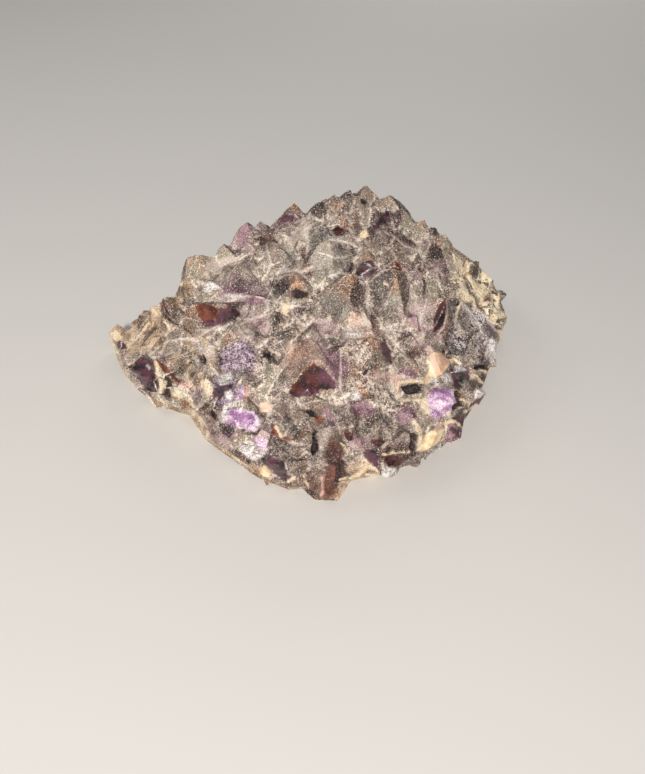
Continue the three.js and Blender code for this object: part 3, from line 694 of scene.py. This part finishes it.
def outside_patches(pixels, behind, tone):
    """Millimetres from each corner to the edge of a tone's nearest patch, less than 0 inside it."""
    nearest = np.full(len(pixels), float(FAR))
    margin = FAR / PIXEL
    for line, wide, closed in patch_lines(tone):
        low, high = np.min(line, axis=0) - margin, np.max(line, axis=0) + margin
        near = np.flatnonzero(((pixels > low) & (pixels < high)).all(axis=1) & (behind < HIDDEN + FAR))
        away = outside_line(pixels[near], line, closed) * PIXEL - wide / 2
        nearest[near] = np.minimum(nearest[near], np.maximum(away, behind[near] - HIDDEN))
    return nearest


def add_hidden_faces(away, tone, facet, behind, ridge):
    """Gives some faces out of view the tone too, in from their ridges."""
    lowest, highest = HIDDEN_FACES[tone]
    chosen = (facet >= lowest) & (facet < highest) & (behind > HIDDEN_WELL)
    return np.where(chosen, np.minimum(away, HIDDEN_RIM - ridge), away)


def unit(vectors):
    return vectors / np.linalg.norm(vectors, axis=-1, keepdims=True)


# What turns the middle of a crystal's cell into three chance values.
SCATTER = np.array([(127, 269, 113), (311, 183, 271), (74, 246, 124)])
SCATTER_TURNS = 43.7


def crowded_crystals(corners, wide):
    """Crystals side by side over the surface, each with flat sides turned at random. Gives for each corner
    how far down its crystal it is and how near the next one, as shares of the width, and a chance value."""
    spots = corners / MM / wide
    seeds = np.array([[list(seed) for seed in noise.voronoi(Vector(spot))[1]] for spot in spots])
    chance = np.sin(seeds @ SCATTER * SCATTER_TURNS) * 0.5 + 0.5
    first = unit(chance - 0.5)
    second = unit(np.cross(first, first[..., [1, 2, 0]]))
    third = np.cross(first, second)
    away = spots[:, None] - seeds
    down = np.max([np.abs((away * axis).sum(axis=-1)) for axis in (first, second, third)], axis=0)
    nearest = np.argmin(down, axis=1)
    ordered = np.sort(down, axis=1)
    return ordered[:, 0], ordered[:, 1] - ordered[:, 0], chance[np.arange(len(spots)), nearest, 0]


def relief(spot):
    """How deep the coated skin is sunk at a spot, in millimetres, by its swells and its sugar."""
    swell = SWELL_DEEP * (0.5 + 0.5 * noise.noise(spot / SWELL_WIDE))
    return swell + SUGAR_DEEP * (0.5 + 0.5 * noise.noise(spot / SUGAR_WIDE))


def raise_relief(piece, crystals):
    """Sinks the skin by its relief, and roughens the broken underside upwards."""
    mesh = piece.data
    clean = np.minimum.reduce([stored(mesh, tone) for tone in CLEAN_TONES])
    coated = blended(clean, *CLEAN_EDGE)
    slot = SLOT_DEEP * blended(-stored(mesh, "dark"), *SLOT_EDGE)
    flat = np.minimum.reduce([stored(mesh, tone) for tone in FLAT_TONES])
    proud = blended(flat, *FLAT_EDGE)
    normals = read(mesh.vertices, "normal", 3)
    for corner in mesh.vertices:
        spot = corner.co / MM
        number = corner.index
        if corner.co.z < BREAK_BELOW * MM:
            corner.co.z = MM * BREAK_DEEP * max(0, noise.fractal(spot / BREAK_WIDE, *BREAK_NOISE))
        else:
            share = coated[number] * (FLAT_RELIEF + (1 - FLAT_RELIEF) * proud[number])
            deep = (relief(spot) + crystals[number]) * share
            deep += CLEAN_DEEP * (1 - coated[number]) + slot[number]
            corner.co -= Vector(normals[number]) * float(deep) * MM * min(1, corner.co.z / (FOOT * MM))


def facing_random(chance, normals):
    """Two directions along the surface for each grain, turned at random."""
    first = np.cross(normals, chance.normal(size=normals.shape))
    first /= np.linalg.norm(first, axis=1)[:, None]
    return first, np.cross(normals, first)


def add_grains(skin, name, seed):
    """Tiny crystals all over the coated skin, in one mesh: three feet and a tip each, as four triangles."""
    mesh = skin.data
    mesh.calc_loop_triangles()
    chance = np.random.RandomState(seed)
    triangles = read(mesh.loop_triangles, "vertices", 3, np.int32)
    area = read(mesh.loop_triangles, "area")
    corners = read(mesh.vertices, "co", 3)
    clean = np.minimum.reduce([stored(mesh, tone) for tone in SMOOTH_TONES])
    coated = (clean > GRAIN_CLEAR) & (corners[:, 2] > GRAIN_LOWEST * MM)
    wanted = area * coated[triangles].all(axis=1)
    chosen = chance.choice(len(triangles), GRAINS, p=wanted / wanted.sum())
    share = chance.dirichlet((1, 1, 1), GRAINS)
    middles = (corners[triangles[chosen]] * share[:, :, None]).sum(axis=1)
    normals = read(mesh.loop_triangles, "normal", 3)[chosen]
    first, second = facing_random(chance, normals)
    wide = chance.uniform(*GRAIN_WIDE, GRAINS)[:, None] * MM
    tall = chance.uniform(*GRAIN_TALL, GRAINS)[:, None] * wide
    low = middles - normals * GRAIN_SUNK * MM
    turns = [math.radians(turn) for turn in (0, 120, 240)]
    feet = [low + wide * (first * math.cos(turn) + second * math.sin(turn)) for turn in turns]
    lean = chance.uniform(-GRAIN_LEAN, GRAIN_LEAN, (GRAINS, 2))
    tip = middles + normals * tall + wide * (first * lean[:, :1] + second * lean[:, 1:])
    places = np.stack(feet + [tip], axis=1).reshape(-1, 3)
    places = np.clip(places, *cad_box)
    sides = np.array([(0, 2, 1), (0, 1, 3), (1, 2, 3), (2, 0, 3)])
    faces = (sides[None] + 4 * np.arange(GRAINS)[:, None, None]).reshape(-1, 3)
    grains = bpy.data.meshes.new(name)
    grains.from_pydata(places.tolist(), [], faces.tolist())
    for attribute in mesh.attributes:
        if attribute.domain == "POINT" and attribute.data_type == "FLOAT":
            below = stored(mesh, attribute.name)[triangles[chosen, 0]]
            keep(grains, attribute.name, np.repeat(below, 4))
    shade = np.repeat(chance.uniform(0, 1, GRAINS), 4)
    grains.attributes["shade"].data.foreach_set("value", shade.astype(np.float32))
    grains.materials.append(skin.data.materials[0])
    return linked(name, grains)


# Finishes of the coat: each is a fine mixture of a darker and a lighter colour, as 0 to 255 in sRGB.
COAT = {
    "grey coat": ((88, 79, 72), (186, 171, 158)),
    "olive coat": ((80, 76, 62), (174, 163, 143)),
    "brown coat": ((84, 62, 50), (192, 156, 132)),
    "lilac coat": ((100, 80, 82), (200, 176, 174)),
    "dust": ((140, 126, 118), (218, 203, 193)),
    "fleck": ((52, 42, 38), (108, 92, 82)),
    # the pale colour of the painted glints on grains, also of the pale specks, which are partly dust
    "thread": ((208, 188, 174), (252, 236, 224)),
    "painted_glint_and_dust": ((230, 222, 216), (255, 252, 248)),
    "matrix": ((110, 86, 66), (230, 204, 174)),
}

# Tones of the patches: their two colours, how these are mixed, how ragged and how soft the edge is in
# millimetres, and how much of the coat they cover. They are laid in this order.
TONES = {
    "steel": ((78, 74, 70), (178, 170, 160), "speckled", 4, 3, 0.75),
    "dim": ((38, 26, 26), (152, 128, 118), "speckled", 4, 3, 0.6),
    "tan": ((108, 86, 66), (248, 218, 184), "speckled", 3, 1.5, 0.65),
    "blush": ((122, 94, 82), (246, 216, 200), "speckled", 3, 2, 0.85),
    "lilac": ((118, 96, 98), (214, 190, 188), "speckled", 3, 2, 0.8),
    "lattice": ((112, 88, 72), (255, 241, 212), "patchy", 1.2, 0.6, 0.95),
    "umber": ((50, 34, 30), (146, 112, 100), "speckled", 2.4, 1.2, 0.9),
    "mauve": ((94, 64, 76), (180, 144, 154), "speckled", 1.6, 0.8, 0.9),
    "silver": ((120, 106, 96), (226, 210, 198), "speckled", 1.4, 0.8, 0.85),
    "freckled": ((98, 80, 68), (240, 224, 210), "mottled", 3, 1.6, 0.75),
    "slate": ((38, 30, 36), (208, 194, 194), "crisp", 4, 1.2, 0.9),
    "frost": ((60, 40, 70), (206, 184, 198), "mottled", 3, 1.4, 0.9),
    "web": ((190, 172, 160), (252, 238, 228), "speckled", 0.7, 0.35, 0.8),
    "rust": ((56, 28, 23), (134, 82, 69), "speckled", 3, 2, 0.85),
    "orange": ((104, 68, 52), (232, 178, 138), "mottled", 3.2, 1.8, 0.55),
    "burgundy": ((48, 22, 22), (106, 60, 58), "calm", 0.7, 0.6, 1),
    "red": ((84, 38, 30), (142, 82, 64), "calm", 0.7, 0.5, 0.9),
    "purple": ((34, 18, 27), (112, 72, 88), "calm", 1.2, 0.6, 0.95),
    "violet": ((168, 124, 168), (250, 228, 242), "cloudy", 2.2, 0.8, 0.95),
    "deep violet": ((112, 64, 124), (190, 140, 190), "speckled", 1.6, 1, 0.85),
    # painted shade: a soft dark wash where the stone lies in shadow
    "painted_shade": ((38, 32, 30), (128, 116, 104), "speckled", 2.6, 1.2, 0.7),
    # dark: partly dark crystal faces, partly slots painted dark as painted shade in the crevice, over their
    # real depth
    "dark": ((26, 16, 22), (70, 52, 58), "calm", 0.7, 0.5, 0.95),
    "butter": ((222, 184, 144), (255, 232, 198), "calm", 0.7, 0.4, 1),
    "pink": ((206, 150, 140), (248, 212, 200), "speckled", 1.2, 0.8, 0.9),
    # white: partly white faces of the stone, partly painted glints where faces caught the light
    "white": ((170, 154, 148), (255, 250, 248), "mottled", 2, 0.5, 0.9),
    "cream": ((232, 204, 170), (255, 241, 216), "mottled", 1.8, 0.4, 0.9),
    "rim": ((138, 102, 78), (255, 238, 210), "speckled", 1.4, 0.5, 0.95),
}
COATED_TONES = ["white", "cream", "dark"]       # where these lie on a clean face, it isn't clean

SHADE = 0.94                # every colour is shown at this share of its brightness,
CONTRAST = 1.18             # and this many times as far from mid grey, but between these ends
MID_GREY = 0.55
PALEST = 0.98
DARKEST = 0.04

# The noises: how many millimetres wide the lumps are, the detail and the roughness.
NOISES = {
    "fine": (0.5, 2, 0.7), "medium": (1.6, 3, 0.65), "blotch": (4.5, 2, 0.5), "broad": (11, 3, 0.5),
    "lumps": (2.4, 2, 0.4), "specks": (0.5, 1, 0.5),
}
NOISE_MIDDLE = 0.5
GRAIN_SHADE = 0.24          # what a grain's own shade adds to the fine noise
DRIFT_TINT, DRIFT_MEDIUM = 0.3, 0.35      # what a face's tint and the medium noise add to the broad one
ROUGH_LINE = 4              # how far, in millimetres, noise moves the lines round tips, feet and matrix

# How a finish's two colours are mixed: by a sum with these shares of the values, all dark where it is the
# first number and all light where it is the second.
PATTERNS = {
    "speckled": ({"tint": 0.62, "blotch": 0.5, "grain": 0.8}, (0.7, 1.42)),
    "mottled": ({"fine": 0.7, "medium": 0.8}, (0.62, 0.88)),
    "crisp": ({"fine": 0.7, "medium": 0.8}, (0.69, 0.81)),
    "cloudy": ({"blotch": 0.8, "fine": 0.5, "medium": 0.6}, (0.76, 1.08)),
    "patchy": ({"lumps": 1, "fine": 0.3}, (0.58, 0.66)),
    "calm": ({"blotch": 1, "medium": 0.5}, (0.55, 0.95)),
}

# The rest of the material's steps: the value that each begins at and the one that it is whole at, then what
# it goes from and to where that isn't 0 and 1.
STEPS = {
    "brown drift": (0.84, 0.96), "lilac drift": (0.78, 0.68), "olive drift": (1, 1.25),
    "brown crystal": (5, 9, 0, 0.5), "tip": (6, 9), "by a ridge": (2.4, 0.4),
    "orange spots": (0.45, 0.6, 0, 0.3), "dusty foot": (3.8, 2.2, 0, 0.35), "matrix": (6.5, 5),
    "busy": (0.85, 1.1, 0.4, 1), "dark flecks": (0.56, 0.49), "pale flecks": (0.74, 0.8, 0, 0.6),
    "pale vein": (0.31, 0.4), "ragged": (0.35, 0.65, 0.5, -0.6), "glints": (0.93, 0.96, 0, 0.8),
    "on clean faces": (0, 1, 1, 0.2), "in the dark": (-0.2, 0.6, 0.35, 1),
    "pale specks": (0.64, 0.68, 0, 0.65), "dark specks": (0.34, 0.3, 0, 0.7),
    "coarse bump": (0, 1, 0.3, 0.05), "fine bump": (0, 1, 0.6, 0.05),
    "roughness": (0.5, 0.8, 0.7, 0.4), "gloss": (0.2, 0.9, 1, 0.58),
}

# The nets of threads: how wide their meshes are and how thick their threads, in millimetres, the medium
# noise that they begin and are whole at, and how much they cover.
NETS = [(9, 0.26, 0.46, 0.56, 0.7), (3.4, 0.18, 0.52, 0.6, 0.5)]
THREAD_CORE = 0.4           # the share of a thread that is whole
# What runs along the crystals' edges: how many millimetres it reaches, a third of that whole, and how much
# it covers.
EDGES = {"ridge": (0.3, 0.5), "seam": (0.25, 0.4), "vein": (0.52, 0.95)}
COARSE_BUMP, FINE_BUMP = 0.5, 0.3         # how high the bumps are, in millimetres


def linear(colour):
    """An sRGB colour of 0 to 255, shaded and pushed away from mid grey, as the linear one of a shader."""
    shares = [min(PALEST, MID_GREY + CONTRAST * (part * SHADE / 255 - MID_GREY)) for part in colour]
    return tuple(((max(DARKEST, part) + 0.055) / 1.055) ** 2.4 for part in shares) + (1,)


class Nodes:
    """The nodes of a material. Each method from mapped on adds some and gives the last one's output."""

    def __init__(self, name):
        self.material = bpy.data.materials.new(name)
        self.material.use_nodes = True
        self.tree = self.material.node_tree
        self.shader = self.tree.nodes["Principled BSDF"]
        place = self.tree.nodes.new("ShaderNodeTexCoord").outputs["Object"]
        self.millimetres = self.mapped(place, 1 / MM)

    def put(self, node, inputs):
        for name, value in inputs.items():
            if isinstance(value, bpy.types.NodeSocket):
                self.tree.links.new(value, node.inputs[name])
            else:
                node.inputs[name].default_value = value

    def mapped(self, place, scale):
        node = self.tree.nodes.new("ShaderNodeMapping")
        self.put(node, {"Vector": place, "Scale": (scale, scale, scale)})
        return node.outputs["Vector"]

    def attribute(self, name):
        node = self.tree.nodes.new("ShaderNodeAttribute")
        node.attribute_name = name
        return node.outputs["Fac"]

    def noise(self, wide, detail=2, roughness=0.5, output="Fac"):
        """Noise whose lumps are so many millimetres wide, from about 0.2 to 0.8."""
        node = self.tree.nodes.new("ShaderNodeTexNoise")
        self.put(node, {"Vector": self.millimetres, "Scale": 1 / wide})
        self.put(node, {"Detail": detail, "Roughness": roughness})
        return node.outputs[output]

    def bent(self, wide, deep):
        """The place, shifted by so many millimetres of noise."""
        node = self.tree.nodes.new("ShaderNodeVectorMath")
        node.operation = "MULTIPLY_ADD"
        self.put(node, {0: self.noise(wide, output="Color"), 1: (deep, deep, deep), 2: self.millimetres})
        return node.outputs["Vector"]

    def cracks(self, wide, place):
        """The distance from the edges between cells so many millimetres wide, in cell widths."""
        node = self.tree.nodes.new("ShaderNodeTexVoronoi")
        node.feature = "DISTANCE_TO_EDGE"
        self.put(node, {"Vector": place, "Scale": 1 / wide})
        return node.outputs["Distance"]

    def maths(self, operation, first, second):
        node = self.tree.nodes.new("ShaderNodeMath")
        node.operation = operation
        self.put(node, {0: first, 1: second})
        return node.outputs[0]

    def total(self, *terms):
        """The sum of values, each alone or with the share of it that counts."""
        parts = [self.maths("MULTIPLY", *term) if isinstance(term, tuple) else term for term in terms]
        whole = parts[0]
        for part in parts[1:]:
            whole = self.maths("ADD", whole, part)
        return whole

    def step(self, value, start, end, low=0, high=1):
        """Goes smoothly from low to high as a value goes from start to end."""
        node = self.tree.nodes.new("ShaderNodeMapRange")
        node.interpolation_type = "SMOOTHSTEP"
        self.put(node, {"Value": value, "From Min": start, "From Max": end, "To Min": low, "To Max": high})
        return node.outputs["Result"]

    def named_step(self, name, value):
        return self.step(value, *STEPS[name])

    def mix(self, share, first, second):
        node = self.tree.nodes.new("ShaderNodeMix")
        node.data_type = "RGBA"
        colours = [node.inputs[6], node.inputs[7]]
        for socket, value in zip(colours, (first, second)):
            if isinstance(value, bpy.types.NodeSocket):
                self.tree.links.new(value, socket)
            else:
                socket.default_value = value
        self.put(node, {0: share})
        return node.outputs[2]

    def bump(self, height, strength, deep, normal=None):
        node = self.tree.nodes.new("ShaderNodeBump")
        self.put(node, {"Height": height, "Strength": strength, "Distance": deep * MM})
        if normal:
            self.put(node, {"Normal": normal})
        return node.outputs["Normal"]


def stone_material():
    nodes = Nodes("druse-coated amethyst")
    values = {name: nodes.noise(*noise) for name, noise in NOISES.items()}
    fine, medium, blotch, broad = (values[name] for name in ("fine", "medium", "blotch", "broad"))
    tint = nodes.attribute("tint")
    grain = nodes.total(fine, (nodes.attribute("shade"), GRAIN_SHADE))
    values |= {"tint": tint, "grain": grain}
    patterns = {}
    for name, (shares, ends) in PATTERNS.items():
        terms = [(values[part], share) for part, share in shares.items()]
        patterns[name] = nodes.step(nodes.total(*terms), *ends)

    def mixed(dark, light, pattern):
        return nodes.mix(patterns[pattern], linear(dark), linear(light))

    def finish(name):
        return mixed(*COAT[name], "speckled")

    # The coat: grey, with olive, brown and lilac drifts, and a shade of its own on each crystal face.
    drift = nodes.total(broad, (tint, DRIFT_TINT), (medium, DRIFT_MEDIUM))
    colour = nodes.mix(nodes.named_step("brown drift", drift), finish("grey coat"), finish("brown coat"))
    colour = nodes.mix(nodes.named_step("lilac drift", drift), colour, finish("lilac coat"))
    olive = nodes.named_step("olive drift", nodes.total(blotch, tint))
    colour = nodes.mix(olive, colour, finish("olive coat"))

    # Crystals are brown towards their tips, and dusty at their feet.
    high = nodes.total(nodes.attribute("vein"), (blotch, ROUGH_LINE))
    colour = nodes.mix(nodes.named_step("brown crystal", high), colour, finish("brown coat"))
    tip = nodes.named_step("by a ridge", nodes.attribute("ridge"))
    tip = nodes.maths("MULTIPLY", nodes.named_step("tip", high), tip)
    tip = nodes.maths("MULTIPLY", tip, nodes.named_step("orange spots", medium))
    colour = nodes.mix(tip, colour, mixed(*TONES["orange"][:3]))
    colour = nodes.mix(nodes.named_step("dusty foot", high), colour, finish("dust"))

    # The matrix under the crystals, on the flanks and below.
    rock = nodes.total(nodes.attribute("height"), (medium, ROUGH_LINE))
    colour = nodes.mix(nodes.named_step("matrix", rock), colour, finish("matrix"))

    # Dark flecks, thick on some faces and thin on others, and pale ones.
    busy = nodes.named_step("busy", nodes.total(broad, blotch))
    flecks = nodes.maths("MULTIPLY", nodes.named_step("dark flecks", grain), busy)
    colour = nodes.mix(flecks, colour, finish("fleck"))
    colour = nodes.mix(nodes.named_step("pale flecks", grain), colour, finish("thread"))

    # Pale threads across the faces, in a coarse net and a fine one. Lumps half as wide as a mesh bend each
    # net by a third of a mesh, and noise breaks it.
    for wide, thick, start, end, cover in NETS:
        net = nodes.cracks(wide, nodes.bent(wide / 2, wide / 3))
        thread = nodes.step(net, thick / wide, THREAD_CORE * thick / wide)
        thread = nodes.maths("MULTIPLY", thread, nodes.step(medium, start, end, 0, cover))
        colour = nodes.mix(thread, colour, finish("thread"))

    # Pale lines along the crystals' ridges, partly wear and partly painted highlight, and pale veins where
    # the crystals meet, painted dark in places as painted shade in the creases.
    pale = nodes.named_step("pale vein", blotch)
    ragged = nodes.named_step("ragged", medium)
    for edge, (wide, cover) in EDGES.items():
        near = nodes.total(nodes.attribute(edge), (ragged, wide))
        near = nodes.step(near, wide, wide / 3, 0, cover)
        vein = finish("thread")
        # Where the blotch noise is low, seams and valleys are painted umber: painted shade in the creases.
        if edge != "ridge":
            vein = nodes.mix(pale, mixed(*TONES["umber"][:3]), vein)
        colour = nodes.mix(near, colour, vein)

    # Painted glints: grains with the highest shade are painted pale, as painted highlights.
    colour = nodes.mix(nodes.named_step("glints", nodes.attribute("shade")), colour, finish("painted_glint_and_dust"))

    # The patches, and how clean they leave the stone.
    clean = 0
    for tone, (dark, light, pattern, ragged, soft, cover) in TONES.items():
        edge = nodes.maths("MULTIPLY", nodes.maths("SUBTRACT", medium, NOISE_MIDDLE), 2 * ragged)
        edge = nodes.total(edge, nodes.maths("SUBTRACT", fine, NOISE_MIDDLE))
        reach = nodes.step(nodes.total(nodes.attribute(tone), edge), soft, -soft, 0, cover)
        colour = nodes.mix(reach, colour, mixed(dark, light, pattern))
        if tone in CLEAN_TONES:
            clean = nodes.maths("MAXIMUM", clean, reach)
        if tone in COATED_TONES:
            clean = nodes.maths("MULTIPLY", clean, nodes.maths("SUBTRACT", 1, reach))

    # Specks over everything, fewer on the clean faces and the dark ones: dark specks of dust, and pale ones
    # that are partly dust and partly painted glints.
    bare = nodes.maths("MINIMUM", nodes.attribute("dark"), nodes.attribute("rust"))
    few = nodes.named_step("in the dark", bare)
    few = nodes.maths("MULTIPLY", nodes.named_step("on clean faces", clean), few)
    for name, shown in (("pale specks", "painted_glint_and_dust"), ("dark specks", "fleck")):
        specks = nodes.maths("MULTIPLY", nodes.named_step(name, values["specks"]), few)
        colour = nodes.mix(specks, colour, finish(shown))

    coarse_bump = nodes.bump(medium, nodes.named_step("coarse bump", clean), COARSE_BUMP)
    fine_bump = nodes.bump(fine, nodes.named_step("fine bump", clean), FINE_BUMP, coarse_bump)
    rough = nodes.maths("MULTIPLY", nodes.named_step("roughness", grain), nodes.named_step("gloss", clean))
    nodes.put(nodes.shader, {"Base Color": colour, "Roughness": rough, "Normal": fine_bump})
    return nodes.material


add_camera()
add_stage()

# The skin, and what its material reads at each of its corners.
solid = merged_solid()
cut = BVHTree.FromBMesh(solid)
face_number, face_count = face_numbers(solid)
skin = even_mesh(solid)
vein = distances(read(skin.data.vertices, "co", 3), edge_points(solid, *VALLEY))
fill_valleys(skin, vein)
corners = read(skin.data.vertices, "co", 3)
ridge = distances(corners, edge_points(solid, *RIDGE))
random.seed(FACE_SEED)
face_value = [random.random() for _ in range(face_count)]
facet = np.array([face_value[face_number[cut.find_nearest(corner)[2]]] for corner in corners])
pixels = pixels_shown(corners)
behind = behind_view(corners, cut)
crowd = blended(vein, *CROWDED)
down, seam, tint = crowded_crystals(corners, CRYSTAL_WIDE)
keep(skin.data, "vein", vein)
keep(skin.data, "ridge", ridge)
keep(skin.data, "height", corners[:, 2] / MM)
keep(skin.data, "shade", np.full(len(corners), SKIN_SHADE))
keep(skin.data, "seam", np.where(crowd > SEAM_CROWD, seam * CRYSTAL_WIDE / 2, FAR))
keep(skin.data, "tint", facet + OWN_TINT * crowd * (tint - facet))
for tone in TONES:
    away = outside_patches(pixels, behind, tone)
    if tone in HIDDEN_FACES:
        away = add_hidden_faces(away, tone, facet, behind, ridge)
    keep(skin.data, tone, away)

# Its relief, its material and its grains.
crystals = CRYSTAL_DEEP * crowd * down + DRUSE_DEEP * crowded_crystals(corners, DRUSE_WIDE)[0]
raise_relief(skin, crystals.astype(np.float32))
keep_inside(skin, *cad_box)
skin.data.materials.clear()
skin.data.materials.append(stone_material())
druse = [add_grains(skin, f"druse_{number}", number) for number in DRUSE_SEEDS]
stone = cut_apart(skin)

for piece in stone + druse:
    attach(piece, "root")
for piece in stone:
    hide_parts("amethyst_chunk")
